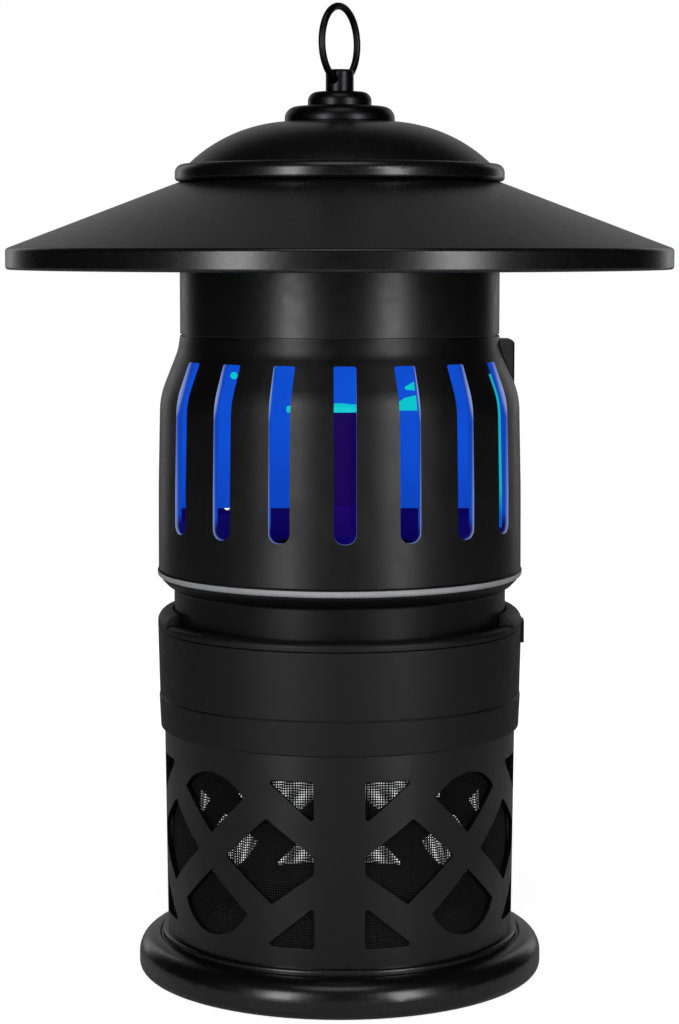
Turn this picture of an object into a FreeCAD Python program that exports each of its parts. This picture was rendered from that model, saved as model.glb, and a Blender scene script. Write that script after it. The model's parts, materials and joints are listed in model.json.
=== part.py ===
"""Hanging lamp-and-fan insect trap.

A drum on a round foot. A lamp chamber with upright slots stands over a fan duct, the fan blows what
it draws in down into a lattice basket lined with mesh, and a wide conical shroud keeps the rain off.
The head (lamps, fan, neck, shroud) lifts out of the basket's collar once the lock ring is turned.

Frame: +Z up, millimetres, origin on the axis at the bottom of the foot. An azimuth of 0 degrees is
the front (-Y), and azimuths grow towards +X.
"""
import FreeCAD, Part
import math
import os
import Sketcher
from FreeCAD import Placement, Rotation, Vector

doc = FreeCAD.newDocument("insect_trap")


# ---------------------------------------------------------------- driving dimensions

DIMENSIONS = {
    # foot and basket
    "foot_radius": 75.0,
    "foot_top": 14.1,
    "foot_lip": 0.6,
    "foot_wall": 3.0,
    "pad_height": 2.0,
    "plate_radius": 69.6,
    "plate_top": 4.6,
    "step_radius": 66.2,
    "cage_bottom": 16.2,
    "cage_radius": 64.2,
    "cage_top_radius": 65.1,
    "cage_top": 103.8,
    "cage_wall": 1.4,
    "mesh_radius": 62.5,
    "mesh_wall": 0.6,
    "mesh_top": 98.0,
    "window_low": 23.4,
    "window_high": 83.2,
    "window_middle": 53.6,
    "window_inner": 7.9,
    "window_rounding": 1.0,
    # collar and lock
    "collar_radius": 67.3,
    "collar_low_radius": 66.4,
    "collar_bottom": 92.2,
    "collar_top": 129.0,
    "crease_height": 104.7,
    "ledge_height": 118.6,
    "lock_bottom": 129.2,
    "lock_top": 132.3,
    "ear_top": 136.0,
    "ear_span": 42.0,
    "lock_turn": 15.0,
    "lug_half": 7.0,
    "lug_bottom": 124.4,
    "tab_half": 6.0,
    # head
    "neck_radius": 61.2,
    "neck_bottom": 120.5,
    "accent_bottom": 148.1,
    "accent_top": 150.9,
    "housing_radius": 66.9,
    "shoulder_height": 214.3,
    "shoulder_rounding": 28.0,
    "seam_height": 236.4,
    "tower_radius": 58.5,
    "tower_top": 291.3,
    "head_wall": 2.5,
    "slot_width": 7.8,
    "slot_bottom": 166.6,
    "slot_top": 227.7,
    "slot_phase": 1.65,
    "slot_pitch": 20.0,
    "slot_count": 7,
    # duct, fan and motor
    "duct_radius": 47.5,
    "duct_wall": 2.2,
    "duct_bottom": 104.0,
    "duct_top": 156.0,
    "funnel_top": 165.6,
    "fan_bottom": 136.0,
    "fan_height": 13.0,
    "fan_radius": 45.8,
    "fan_hub": 12.5,
    "blade_count": 7,
    "motor_radius": 16.0,
    "motor_bottom": 108.0,
    "motor_top": 131.0,
    "shaft_radius": 1.5,
    # lamps
    "lamp_offset": 22.0,
    "lamp_radius": 8.0,
    "socket_top": 176.5,
    "lamp_top": 212.4,
    "bridge_top": 166.0,
    "clip_bottom": 210.0,
    "clip_height": 1.7,
    "deck_bottom": 233.6,
    "reflector_bottom": 172.6,
    "sheet_wall": 1.6,
    # power inlet and board
    "jack_height": 227.0,
    "jack_side": 2.0,
    "jack_radius": 3.9,
    "boss_face": 64.0,
    "board_bottom": 244.0,
    # shroud, dome and hanger
    "shroud_radius": 121.5,
    "rim_bottom": 260.5,
    "rim_top": 268.0,
    "dome_ring_radius": 60.1,
    "dome_ring_top": 298.5,
    "dome_top": 313.6,
    "dome_bow": 55.0,
    "finial_radius": 20.05,
    "finial_top": 319.3,
    "cap_radius": 11.6,
    "cap_top": 324.6,
    "stud_radius": 5.1,
    "stud_top": 332.6,
    "bolt_radius": 4.0,
    "eye_height": 329.2,
    "eye_radius": 2.0,
    "ring_radius": 13.35,
    "ring_wire": 1.28,
    "ring_height": 342.0,
    "ring_azimuth": 28.5,
}

sheet = doc.addObject("Spreadsheet::Sheet", "dims")
for row, (alias, number) in enumerate(DIMENSIONS.items(), start=1):
    sheet.set(f"A{row}", alias.replace("_", " "))
    sheet.set(f"B{row}", str(number))
    sheet.setAlias(f"B{row}", alias)
doc.recompute()


class Size:
    """A length or angle that carries both its number and the sheet formula that gives it."""

    def __init__(self, number, formula):
        self.number = number
        self.formula = formula

    def __add__(self, other):
        other = as_size(other)
        return Size(self.number + other.number, f"({self.formula} + {other.formula})")

    def __sub__(self, other):
        other = as_size(other)
        return Size(self.number - other.number, f"({self.formula} - {other.formula})")

    def __mul__(self, other):
        other = as_size(other)
        return Size(self.number * other.number, f"({self.formula} * {other.formula})")

    def __rsub__(self, other):
        return as_size(other) - self

    def __neg__(self):
        return self * -1

    __radd__ = __add__
    __rmul__ = __mul__


def as_size(value):
    """A plain number as a Size."""
    if isinstance(value, Size):
        return value
    return Size(float(value), f"({value})")


def sine(angle):
    """The sine of an angle in degrees."""
    angle = as_size(angle)
    return Size(math.sin(math.radians(angle.number)), f"sin({angle.formula} * 1deg)")


def cosine(angle):
    """The cosine of an angle in degrees."""
    angle = as_size(angle)
    return Size(math.cos(math.radians(angle.number)), f"cos({angle.formula} * 1deg)")


def beside(radius, half):
    """How far out a circle's point lies that is half a chord to the side."""
    radius = as_size(radius)
    half = as_size(half)
    return Size(math.sqrt(radius.number ** 2 - half.number ** 2),
                f"sqrt({radius.formula} * {radius.formula} - {half.formula} * {half.formula})")


class Dimensions:
    """Every named cell of the sheet as a Size."""

    def __init__(self):
        for alias in DIMENSIONS:
            setattr(self, alias, Size(float(sheet.get(alias)), f"dims.{alias}"))


d = Dimensions()


def bind(thing, path, value):
    """Tie a property to the sheet."""
    thing.setExpression(path, as_size(value).formula)


# ---------------------------------------------------------------- sketches and features

class Corner:
    """A corner of an outline. round_by fillets it, bow turns the edge that leaves it into an arc."""

    def __init__(self, across, up, round_by=None, bow=None):
        self.across = as_size(across)
        self.up = as_size(up)
        self.round_by = round_by
        self.bow = bow

    def point(self):
        return Vector(self.across.number, self.up.number, 0)


def origin_plane(body, role):
    """One of a body's own origin planes, such as XZ_Plane."""
    return next(item for item in body.Origin.OriginFeatures if item.Role == role)


def new_body(label):
    body = doc.addObject("PartDesign::Body", label)
    body.Label = label
    return body


def new_sketch(body, role, offset=None, turn=None):
    """An empty sketch in an origin plane, moved along its normal or turned about +Z."""
    drawing = body.newObject("Sketcher::SketchObject", f"{body.Label}_sketch")
    drawing.AttachmentSupport = [(origin_plane(body, role), "")]
    drawing.MapMode = "FlatFace"
    if turn is not None:
        drawing.AttachmentOffset = Placement(Vector(0, 0, 0), Rotation(Vector(0, 1, 0), turn))
    if offset is not None:
        drawing.AttachmentOffset = Placement(Vector(0, 0, as_size(offset).number), Rotation())
        bind(drawing, "AttachmentOffset.Base.z", offset)
    return drawing


def edge_between(start, end, bow):
    """A straight edge, or an arc of radius |bow| that bulges to the left of the way it runs."""
    if bow is None:
        return Part.LineSegment(start, end)
    chord = end - start
    half = chord.Length / 2
    radius = abs(as_size(bow).number)
    sagitta = radius - math.sqrt(radius * radius - half * half)
    left = Vector(-chord.y, chord.x, 0).normalize()
    side = math.copysign(1, as_size(bow).number)
    middle = (start + end) * 0.5 + left * sagitta * side
    return Part.Arc(start, middle, end) if side < 0 else Part.Arc(end, middle, start)


def arc_end(arc, point):
    """Which end of an arc, 1 or 2, lies at a point."""
    return 1 if (arc.StartPoint - point).Length < (arc.EndPoint - point).Length else 2


def draw(body, role, corners, offset=None, turn=None):
    """A closed outline through the corners, every one of them tied to the sheet."""
    drawing = new_sketch(body, role, offset, turn)
    count = len(corners)
    starts = []
    ends = []
    for index, here in enumerate(corners):
        after = corners[(index + 1) % count]
        drawing.addGeometry(edge_between(here.point(), after.point(), here.bow))
        edge = drawing.Geometry[index]
        starts.append(arc_end(edge, here.point()) if here.bow else 1)
        ends.append(arc_end(edge, after.point()) if here.bow else 2)
    for index in range(count):
        after = (index + 1) % count
        drawing.addConstraint(Sketcher.Constraint("Coincident", index, ends[index], after, starts[after]))
    for index, here in enumerate(corners):
        for kind, value in (("DistanceX", here.across), ("DistanceY", here.up)):
            place = (-1, 1, index, starts[index], value.number)
            bind(drawing, f"Constraints[{drawing.addConstraint(Sketcher.Constraint(kind, *place))}]", value)
        if here.bow:
            radius = as_size(here.bow) if as_size(here.bow).number > 0 else -as_size(here.bow)
            held = drawing.addConstraint(Sketcher.Constraint("Radius", index, radius.number))
            bind(drawing, f"Constraints[{held}]", radius)
    for index, here in enumerate(corners):
        if here.round_by:
            radius = as_size(here.round_by)
            drawing.fillet(index, starts[index], radius.number, 1, True)
            arcs = [n for n, item in enumerate(drawing.Geometry) if isinstance(item, Part.ArcOfCircle)]
            held = drawing.addConstraint(Sketcher.Constraint("Radius", arcs[-1], radius.number))
            bind(drawing, f"Constraints[{held}]", radius)
    return drawing


def draw_circles(body, role, circles, offset=None):
    """Circles given as (across, up, radius)."""
    drawing = new_sketch(body, role, offset)
    for index, circle in enumerate(circles):
        across, up, radius = (as_size(value) for value in circle)
        centre = Vector(across.number, up.number, 0)
        drawing.addGeometry(Part.Circle(centre, Vector(0, 0, 1), radius.number))
        for kind, value in (("DistanceX", across), ("DistanceY", up)):
            held = drawing.addConstraint(Sketcher.Constraint(kind, -1, 1, index, 3, value.number))
            bind(drawing, f"Constraints[{held}]", value)
        held = drawing.addConstraint(Sketcher.Constraint("Radius", index, radius.number))
        bind(drawing, f"Constraints[{held}]", radius)
    return drawing


def box_outline(low_x, high_x, low_y, high_y, round_by=None):
    """The four corners of a rectangle."""
    return [
        Corner(low_x, low_y, round_by),
        Corner(high_x, low_y, round_by),
        Corner(high_x, high_y, round_by),
        Corner(low_x, high_y, round_by),
    ]


def sector_outline(inner, outer, azimuth, half):
    """A piece of a flat ring, seen from above, centred on an azimuth."""
    low = as_size(azimuth) - half - 90
    high = as_size(azimuth) + half - 90
    inner = as_size(inner)
    outer = as_size(outer)
    return [
        Corner(inner * cosine(low), inner * sine(low)),
        Corner(outer * cosine(low), outer * sine(low), bow=-outer),
        Corner(outer * cosine(high), outer * sine(high)),
        Corner(inner * cosine(high), inner * sine(high), bow=inner),
    ]


def volume_of(body):
    doc.recompute()
    return body.Shape.Volume


def expect_change(body, before, adds):
    """Stop if a feature did nothing, or worked in the wrong direction."""
    change = volume_of(body) - before
    if (change > 0) != adds or abs(change) < 1e-3:
        raise RuntimeError(f"{body.Label}: {body.Tip.Name} changed the volume by {change:.3f}")


def extrude(body, drawing, length, adds=True, both_ways=False, other_way=False):
    """Pad or pocket a drawing by a length."""
    before = volume_of(body) if body.Tip else 0.0
    kind = "Pad" if adds else "Pocket"
    feature = body.newObject(f"PartDesign::{kind}", f"{body.Label}_{kind.lower()}")
    feature.Profile = drawing
    feature.Reversed = other_way
    if both_ways:
        feature.SideType = "Symmetric"
    bind(feature, "Length", length)
    expect_change(body, before, adds)
    return feature


def spin(body, drawing, adds=True, sweep=360.0):
    """Turn a drawing in the XZ plane about the Z axis, half of the sweep to either side."""
    before = volume_of(body) if body.Tip else 0.0
    kind = "Revolution" if adds else "Groove"
    feature = body.newObject(f"PartDesign::{kind}", f"{body.Label}_{kind.lower()}")
    feature.Profile = drawing
    feature.ReferenceAxis = (drawing, ["V_Axis"])
    feature.Midplane = True
    bind(feature, "Angle", sweep)
    expect_change(body, before, adds)
    return feature


def repeat(body, features, count, sweep=360.0):
    """Repeat features round the Z axis, over a whole turn or from the first to the last of a sweep."""
    before = volume_of(body)
    pattern = body.newObject("PartDesign::PolarPattern", f"{body.Label}_pattern")
    pattern.Originals = features
    pattern.Axis = (origin_plane(body, "Z_Axis"), [""])
    bind(pattern, "Angle", sweep)
    bind(pattern, "Occurrences", count)
    body.Tip = pattern
    if abs(volume_of(body) - before) < 1e-3:
        raise RuntimeError(f"{body.Label}: the pattern changed nothing")
    return pattern


def turned(label, corners):
    """A body of revolution from its half outline (radius, height)."""
    body = new_body(label)
    spin(body, draw(body, "XZ_Plane", corners))
    return body


def drill(body, circles, bottom, depth):
    """Upright round holes (x, y, radius) from a height upwards."""
    return extrude(body, draw_circles(body, "XY_Plane", circles, bottom), depth, False, other_way=True)


def post(body, circles, bottom, length):
    """Upright round posts (x, y, radius) from a height upwards."""
    return extrude(body, draw_circles(body, "XY_Plane", circles, bottom), length)


def on_circle(radius, count, phase):
    """Places (x, y) evenly round the axis, as Sizes."""
    angles = [phase + 360.0 * index / count for index in range(count)]
    return [(radius * cosine(angle), radius * sine(angle)) for angle in angles]


def rod(label, radius, bottom, length, place):
    """An upright Part cylinder tied to the sheet."""
    item = doc.addObject("Part::Cylinder", label)
    bind(item, "Radius", radius)
    bind(item, "Height", length)
    bind(item, "Placement.Base.x", place[0])
    bind(item, "Placement.Base.y", place[1])
    bind(item, "Placement.Base.z", bottom)
    return item


def screws(label, places, head_radius, head_bottom, head_height, shank_radius, shank_bottom, shank_length):
    """Identical upright screws as one group of separate solids."""
    group = doc.addObject("Part::Compound", label)
    group.Label = label
    links = []
    for index, place in enumerate(places):
        screw = doc.addObject("Part::Fuse", f"{label}_{index}")
        screw.Base = rod(f"{label}_head_{index}", head_radius, head_bottom, head_height, place)
        screw.Tool = rod(f"{label}_shank_{index}", shank_radius, shank_bottom, shank_length, place)
        links.append(screw)
    group.Links = links
    return group


# ---------------------------------------------------------------- foot and catch basket

SCREW_CIRCLE = 48.0
SCREW_PLACES = on_circle(SCREW_CIRCLE, 4, 45.0)
SCREW_SHANK = 1.5
SCREW_HEAD = 3.2
FIT_GAP = 0.1


def make_foot_ring():
    return turned("foot_ring", [
        Corner(59.0, 0.0, 0.6),
        Corner(66.5, 0.0, 0.6),
        Corner(66.5, d.pad_height),
        Corner(59.0, d.pad_height),
    ])


def make_bottom_plate():
    """The disc under the foot, drilled for four screws whose heads are sunk into it."""
    body = turned("bottom_plate", [
        Corner(0, d.pad_height),
        Corner(d.plate_radius, d.pad_height),
        Corner(d.plate_radius, d.plate_top),
        Corner(0, d.plate_top),
    ])
    holes = [(x, y, SCREW_SHANK + FIT_GAP) for x, y in SCREW_PLACES]
    sinks = [(x, y, SCREW_HEAD + FIT_GAP) for x, y in SCREW_PLACES]
    drill(body, holes, d.pad_height, d.plate_top - d.pad_height)
    drill(body, sinks, d.pad_height, 1.4)
    return body


def make_base_flange():
    """The bulging outer skin of the foot, with the ledge that the cage stands on."""
    inner = d.foot_radius - d.foot_wall
    ledge = d.cage_bottom - 2.8
    under = ledge - d.foot_wall + 0.6
    return turned("base_flange", [
        Corner(d.plate_radius + 0.2, d.foot_lip),
        Corner(d.foot_radius, d.foot_lip, 3.0),
        Corner(d.foot_radius, d.foot_top, 7.2),
        Corner(d.step_radius + 1.3, d.foot_top, 0.3),
        Corner(d.step_radius + 0.6, ledge),
        Corner(d.step_radius, ledge),
        Corner(d.step_radius, d.cage_bottom, 0.9),
        Corner(d.mesh_radius, d.cage_bottom),
        Corner(d.mesh_radius, under),
        Corner(inner, under, 3.0),
        Corner(inner, d.plate_top + 0.2),
        Corner(d.plate_radius + 0.2, d.plate_top + 0.2),
    ])


def make_basket_floor():
    """The floor of the basket, on four posts that take the bottom plate's screws."""
    top = d.cage_bottom - 1.0
    body = turned("basket_floor", [
        Corner(0, top - 2.0),
        Corner(d.mesh_radius - 0.3, top - 2.0),
        Corner(d.mesh_radius - 0.3, top),
        Corner(0, top),
    ])
    posts = [(x, y, 4.0) for x, y in SCREW_PLACES]
    post(body, posts, d.plate_top, top - 2.0 - d.plate_top)
    bores = [(x, y, SCREW_SHANK + FIT_GAP) for x, y in SCREW_PLACES]
    drill(body, bores, d.plate_top, 8.0)
    return body


def make_bottom_screws():
    return screws("bottom_screws", SCREW_PLACES, SCREW_HEAD, d.pad_height, 1.3,
                  SCREW_SHANK, d.pad_height + 1.0, 9.0)


def window_outlines():
    """The five windows of half a quarter as (azimuth of the middle, corners as (azimuth, height))."""
    low = d.window_low
    high = d.window_high
    middle = d.window_middle
    inner = d.window_inner
    edge = d.window_rounding
    upper_triangle = [(inner, high, edge), (inner, high - 15.0, edge), (23.9, high, edge)]
    lower_triangle = [(inner, low, edge), (24.2, low, edge), (inner, low + 15.2, edge)]
    diamond = [
        (inner, middle - 3.6, 3.0),
        (21.8, middle - 15.2, edge),
        (39.0, middle + 0.4, edge),
        (23.6, middle + 15.6, edge),
        (inner, middle + 2.8, 3.0),
    ]
    return [
        (14.0, upper_triangle),
        (14.0, lower_triangle),
        (22.0, diamond),
    ]


def make_lattice_cage():
    """A tube whose wall is cut into crossing bars, the same in each quarter and mirrored in it."""
    body = turned("lattice_cage", [
        Corner(d.cage_radius, d.cage_bottom),
        Corner(d.cage_top_radius, d.cage_top),
        Corner(d.cage_top_radius - d.cage_wall, d.cage_top),
        Corner(d.cage_radius - d.cage_wall, d.cage_bottom),
    ])
    cuts = []
    for centre, corners in window_outlines():
        for side in (1, -1):
            outline = []
            for azimuth, height, rounding in corners[::side]:
                outline.append(Corner(d.cage_radius * sine(azimuth - as_size(centre)) * side,
                                      height, rounding))
            cuts.append(cut_window(body, outline, side * centre))
    span = d.cage_radius * sine(13.8)
    peak = d.window_high - 7.8
    valley = d.window_low + 10.6
    arch = [Corner(span, peak, bow=-19.3), Corner(-span, peak), Corner(0, peak - 14.4, d.window_rounding)]
    bowl = [Corner(-span - 0.8, valley, bow=-18.0), Corner(span + 0.8, valley),
            Corner(0, valley + 13.9, d.window_rounding)]
    cuts.append(cut_window(body, arch, 45.0))
    cuts.append(cut_window(body, bowl, 45.0))
    repeat(body, cuts, 4)
    return body


def cut_window(body, outline, azimuth):
    """Cut a window out through the wall on one side."""
    drawing = draw(body, "XZ_Plane", outline, turn=azimuth)
    return extrude(body, drawing, d.cage_radius + 5.0, False, other_way=True)


def make_mesh_screen():
    """The insect mesh as a plain thin sleeve of its true size."""
    bottom = d.cage_bottom + 0.2
    return turned("mesh_screen", [
        Corner(d.mesh_radius - d.mesh_wall, bottom),
        Corner(d.mesh_radius, bottom),
        Corner(d.mesh_radius, d.mesh_top),
        Corner(d.mesh_radius - d.mesh_wall, d.mesh_top),
    ])


def make_basket_hoops():
    """Two hoops and four upright ribs that hold the mesh against the cage."""
    outer = d.mesh_radius - d.mesh_wall - 0.1
    inner = outer - 1.8
    bottom = d.cage_bottom + 0.2
    body = turned("basket_hoops", [
        Corner(inner, bottom),
        Corner(outer, bottom),
        Corner(outer, d.mesh_top),
        Corner(inner, d.mesh_top),
    ])
    gap = sector_outline(inner - 3.0, outer + 3.0, 45.0, 41.0)
    height = d.mesh_top - d.cage_bottom - 10.0
    opening = extrude(body, draw(body, "XY_Plane", gap, d.cage_bottom + 5.0), height, False, other_way=True)
    repeat(body, [opening], 4)
    return body


def make_collar_band():
    """The band round the basket's mouth, with a crease, a ledge for the head and a gap for the tab."""
    crease = d.crease_height
    bore = d.collar_radius - 3.5
    body = turned("collar_band", [
        Corner(d.collar_low_radius, d.collar_bottom, 0.6),
        Corner(d.collar_low_radius + 0.55, crease - 0.7, 0.3),
        Corner(d.collar_low_radius + 0.15, crease),
        Corner(d.collar_low_radius + 0.3, crease + 0.4),
        Corner(d.collar_radius - 0.05, d.collar_top, 0.4),
        Corner(d.collar_radius - 1.4, d.collar_top),
        Corner(d.collar_radius - 1.4, d.lug_bottom + 0.4),
        Corner(bore, d.lug_bottom + 0.4),
        Corner(bore, d.ledge_height),
        Corner(58.8, d.ledge_height),
        Corner(58.8, d.ledge_height - 2.2),
        Corner(d.collar_radius - 2.9, d.ledge_height - 6.2),
        Corner(d.collar_radius - 2.9, d.cage_top + 0.2),
        Corner(d.cage_top_radius + 0.2, d.cage_top + 0.2),
        Corner(d.cage_top_radius + 0.2, d.collar_bottom),
    ])
    middle = 90.0 + d.lock_turn * 0.5
    half = d.tab_half + d.lock_turn * 0.5 + 1.2
    gap = sector_outline(d.collar_radius - 2.6, d.collar_radius + 4.0, middle, half)
    drawing = draw(body, "XY_Plane", gap, d.collar_top - 6.1)
    extrude(body, drawing, 8.0, False, other_way=True)
    return body


def make_duct_seal():
    return turned("duct_seal", [
        Corner(59.2, d.ledge_height),
        Corner(63.2, d.ledge_height),
        Corner(63.2, d.neck_bottom - 0.2, 0.5),
        Corner(59.2, d.neck_bottom - 0.2, 0.5),
    ])


# ---------------------------------------------------------------- lock ring

LUG_AZIMUTH = 60.0
LUG_REACH = 63.2


def make_lock_ring():
    """The turning ring: two raised ears to push at, three gaps for the head's lugs, and a thumb tab."""
    bore = d.neck_radius + 0.5
    body = turned("lock_ring", [
        Corner(bore, d.lock_bottom),
        Corner(d.collar_radius - 3.2, d.lock_bottom),
        Corner(d.collar_radius - 3.2, d.lug_bottom + 0.8),
        Corner(d.collar_radius - 1.7, d.lug_bottom + 0.8),
        Corner(d.collar_radius - 1.7, d.lock_bottom),
        Corner(d.collar_radius, d.lock_bottom, 0.3),
        Corner(d.collar_radius, d.lock_top, 1.8),
        Corner(bore, d.lock_top, 0.4),
    ])
    profile = [
        Corner(bore, d.lock_bottom + 0.6),
        Corner(d.collar_radius, d.lock_bottom + 0.6),
        Corner(d.collar_radius, d.ear_top, 4.6),
        Corner(bore, d.ear_top, 0.4),
    ]
    ear = spin(body, draw(body, "XZ_Plane", profile), sweep=d.ear_span)
    repeat(body, [ear], 2)
    low = d.lock_bottom - 5.8
    tab = sector_outline(d.collar_radius - 2.2, d.collar_radius + 1.0, 90.0, d.tab_half)
    extrude(body, draw(body, "XY_Plane", tab, low), 7.7)
    gap = sector_outline(d.neck_radius - 2.0, LUG_REACH + 0.5, LUG_AZIMUTH, d.lug_half + 1.5)
    notch = extrude(body, draw(body, "XY_Plane", gap, d.lug_bottom - 2.0), 20.0, False, other_way=True)
    repeat(body, [notch], 3)
    return body


# ---------------------------------------------------------------- neck, duct, fan and motor

HARNESS_SIDE = -3.6
HARNESS_RADIUS = 1.1
BRIDGE_PLACES = [(as_size(0), as_size(52.0)), (as_size(0), as_size(-52.0))]


def make_neck_shell():
    """The recessed lower neck that enters the collar, its shoulder and its three lugs."""
    inner = d.neck_radius - 2.2
    body = turned("neck_shell", [
        Corner(inner - 2.0, d.neck_bottom),
        Corner(d.neck_radius, d.neck_bottom, 0.5),
        Corner(d.neck_radius, d.accent_bottom - 4.4, 1.2),
        Corner(d.housing_radius - 3.4, d.accent_bottom - 3.2, 1.0),
        Corner(d.housing_radius - 1.2, d.accent_bottom - 0.9, 0.6),
        Corner(d.housing_radius - 1.0, d.accent_bottom),
        Corner(d.housing_radius - 2.7, d.accent_bottom),
        Corner(d.housing_radius - 2.7, d.accent_top + 0.6),
        Corner(d.housing_radius - 4.7, d.accent_top + 0.6),
        Corner(d.housing_radius - 4.7, d.accent_bottom),
        Corner(inner, d.accent_bottom - 3.0),
        Corner(inner, d.neck_bottom + 2.0),
        Corner(inner - 2.0, d.neck_bottom + 2.0),
    ])
    lug = sector_outline(d.neck_radius - 1.0, LUG_REACH, LUG_AZIMUTH, d.lug_half)
    repeat(body, [extrude(body, draw(body, "XY_Plane", lug, d.lug_bottom), 3.0)], 3)
    return body


def make_accent_ring():
    return turned("accent_ring", [
        Corner(d.housing_radius - 2.5, d.accent_bottom),
        Corner(d.housing_radius + 0.4, d.accent_bottom, 1.4),
        Corner(d.housing_radius + 0.4, d.accent_top, 0.5),
        Corner(d.housing_radius - 2.5, d.accent_top),
    ])


def make_fan_duct():
    """The tube round the fan, with a flange that rests on the neck's inner lip."""
    outer = d.duct_radius + d.duct_wall
    lip = d.neck_bottom + 2.0
    body = turned("fan_duct", [
        Corner(d.duct_radius, d.duct_bottom, 0.5),
        Corner(outer, d.duct_bottom, 0.5),
        Corner(outer, lip),
        Corner(d.neck_radius - 2.4, lip),
        Corner(d.neck_radius - 2.4, lip + 2.0),
        Corner(outer, lip + 2.0),
        Corner(outer, d.duct_top),
        Corner(d.duct_radius, d.duct_top),
    ])
    window = box_outline(-HARNESS_SIDE - 2.6, -HARNESS_SIDE + 2.6, d.motor_top - 4.8, d.motor_top + 2.4, 1.0)
    drawing = draw(body, "YZ_Plane", [Corner(-c.across, c.up, c.round_by) for c in window[::-1]])
    extrude(body, drawing, d.duct_radius + 6.0, False, other_way=True)
    return body


def make_intake_funnel():
    """The sloping floor of the lamp chamber, which leads the air down into the duct."""
    outer = d.housing_radius - 3.3
    body = turned("intake_funnel", [
        Corner(d.duct_radius, d.duct_top, 0.8),
        Corner(d.duct_radius + 2.5, d.duct_top),
        Corner(outer, d.funnel_top - 3.2),
        Corner(outer, d.funnel_top),
        Corner(outer - 1.8, d.funnel_top),
        Corner(d.duct_radius, d.duct_top + 2.9, 1.5),
    ])
    drill(body, [(57.6, HARNESS_SIDE, HARNESS_RADIUS + 0.8)], d.duct_top, 12.0)
    post_bottom = d.duct_top + 3.0
    post(body, [(x, y, 3.2) for x, y in BRIDGE_PLACES], post_bottom, d.bridge_top - 2.0 - post_bottom)
    drill(body, [(x, y, SCREW_SHANK + FIT_GAP) for x, y in BRIDGE_PLACES], post_bottom + 1.0, 8.0)
    return body


def make_guard_bars():
    """Parallel bars across the bottom of the duct, which keep fingers off the fan."""
    group = doc.addObject("Part::Compound", "guard_bars")
    group.Label = "guard_bars"
    bars = []
    for index in range(-3, 4):
        side = 11.5 * index
        half = math.sqrt((d.duct_radius.number - 0.2) ** 2 - (abs(side) + 1.2) ** 2)
        bar = doc.addObject("Part::Cylinder", f"guard_bar_{index + 3}")
        bind(bar, "Radius", 1.2)
        bind(bar, "Height", 2.0 * half)
        bar.Placement = Placement(Vector(-half, side, 0), Rotation(Vector(0, 1, 0), 90))
        bind(bar, "Placement.Base.z", d.duct_bottom + 2.6)
        bars.append(bar)
    group.Links = bars
    return group


ARM_WIDTH = 5.0
ARM_HEIGHT = 7.0
ARM_RISE = 9.0
CUP_WALL = 2.2


def make_motor_cup():
    """The cup that the motor sits in."""
    inner = d.motor_radius + 0.2
    return turned("motor_cup", box_outline(inner, inner + CUP_WALL, d.motor_bottom + 3.0, d.motor_bottom + 17.0))


def make_motor_arms():
    """Four arms from the cup to the rim in the duct."""
    cup = d.motor_radius + 0.2 + CUP_WALL
    rim = d.duct_radius - 0.2 - CUP_WALL
    half = ARM_WIDTH * 0.5
    body = new_body("motor_arms")
    outline = [
        Corner(-half, beside(cup, half), bow=cup),
        Corner(half, beside(cup, half)),
        Corner(half, beside(rim, half), bow=-rim),
        Corner(-half, beside(rim, half)),
    ]
    arm = extrude(body, draw(body, "XY_Plane", outline, d.motor_bottom + ARM_RISE), ARM_HEIGHT)
    repeat(body, [arm], 4)
    return body


def make_mount_rim():
    """The thin ring that ties the arms together against the duct."""
    outer = d.duct_radius - 0.2
    low = d.motor_bottom + ARM_RISE
    return turned("mount_rim", box_outline(outer - CUP_WALL, outer, low, low + ARM_HEIGHT))


def make_motor_can():
    """The fan motor with its shaft bore."""
    bore = d.shaft_radius + 0.06
    floor = d.motor_bottom + 10.0
    return turned("motor_can", [
        Corner(0, d.motor_bottom),
        Corner(d.motor_radius, d.motor_bottom, 1.2),
        Corner(d.motor_radius, d.motor_top, 1.2),
        Corner(4.5, d.motor_top),
        Corner(4.5, d.motor_top + 2.0, 0.5),
        Corner(bore, d.motor_top + 2.0),
        Corner(bore, floor),
        Corner(0, floor),
    ])


def make_motor_shaft():
    """The turning shaft, with a collar above the hub."""
    top = d.fan_bottom + d.fan_height
    return turned("motor_shaft", [
        Corner(0, d.motor_bottom + 10.2),
        Corner(d.shaft_radius, d.motor_bottom + 10.2),
        Corner(d.shaft_radius, top),
        Corner(3.4, top),
        Corner(3.4, top + 2.4, 0.8),
        Corner(0, top + 2.4),
    ])


def blade_section(body, radius, chord, thickness, pitch):
    """A blade's cross-section at a radius: a rectangle tilted by the pitch angle."""
    middle = d.fan_bottom + d.fan_height * 0.5
    corners = []
    for along, through in ((-1, -1), (1, -1), (1, 1), (-1, 1)):
        half_chord = as_size(chord * 0.5 * along)
        half_wall = as_size(thickness * 0.5 * through)
        corners.append(Corner(half_chord * cosine(pitch) - half_wall * sine(pitch),
                              middle + half_chord * sine(pitch) + half_wall * cosine(pitch)))
    return draw(body, "XZ_Plane", corners, radius)


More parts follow.
